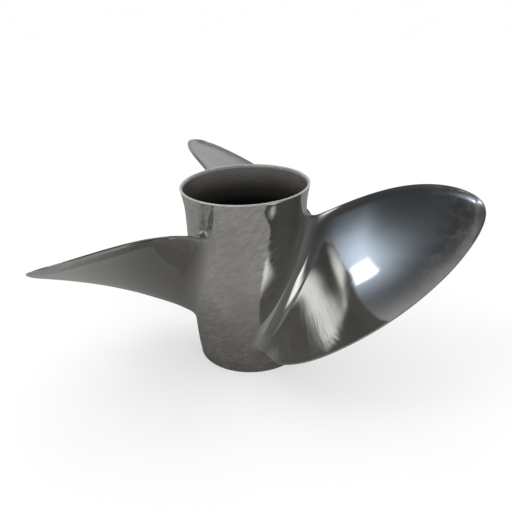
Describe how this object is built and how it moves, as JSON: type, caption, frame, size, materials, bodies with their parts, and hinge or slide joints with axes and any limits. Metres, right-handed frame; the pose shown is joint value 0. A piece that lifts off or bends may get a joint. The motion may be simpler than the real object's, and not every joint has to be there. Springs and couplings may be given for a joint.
{
  "type": "outboard motor propeller",
  "caption": "Right-hand through-hub-exhaust boat propeller in polished stainless steel, with swept cupped blades, a flared hub barrel and a splined sleeve held in a rubber bush.",
  "frame": {"origin": "on the shaft axis at the centre of mass, 80 mm aft of the barrel's forward rim, on which the propeller stands", "axes": "+Z along the shaft axis, aft (up, as it stands). +X and +Y lie in the plane of rotation; the reference line of blade_1 is 45.54 degrees clockwise from +X seen from aft, and blade_2 and blade_3 follow every 120 degrees anticlockwise"},
  "size_m": [0.364, 0.3418, 0.1669],
  "materials": {
    "polished_blade_steel": "mirror-polished cast stainless steel with faint buffing waves and handling marks",
    "polished_barrel_steel": "polished cast stainless steel, with a fine circumferential satin and a warm tone lower down",
    "cast_hub_steel": "dark as-cast and blasted stainless steel with a machined aft face",
    "sleeve_bronze": "turned and broached bronze, lightly oiled",
    "bush_rubber": "black moulded rubber, matt"
  },
  "bodies": {
    "casting": {"outer_barrel": "polished_barrel_steel", "inner_hub": "cast_hub_steel", "web_1": "cast_hub_steel", "web_2": "cast_hub_steel", "web_3": "cast_hub_steel", "blade_1": "polished_blade_steel", "blade_2": "polished_blade_steel", "blade_3": "polished_blade_steel", "rubber_bush": "bush_rubber"},
    "sleeve": {"drive_sleeve": "sleeve_bronze"}
  },
  "joints": [
    {"name": "bush_windup", "type": "hinge", "parent": "casting", "child": "sleeve", "pos_m": [0, 0, 0], "axis": [0, 0, 1], "range_deg": [-8, 8], "stiffness_Nm_per_rad": 4800}
  ]
}
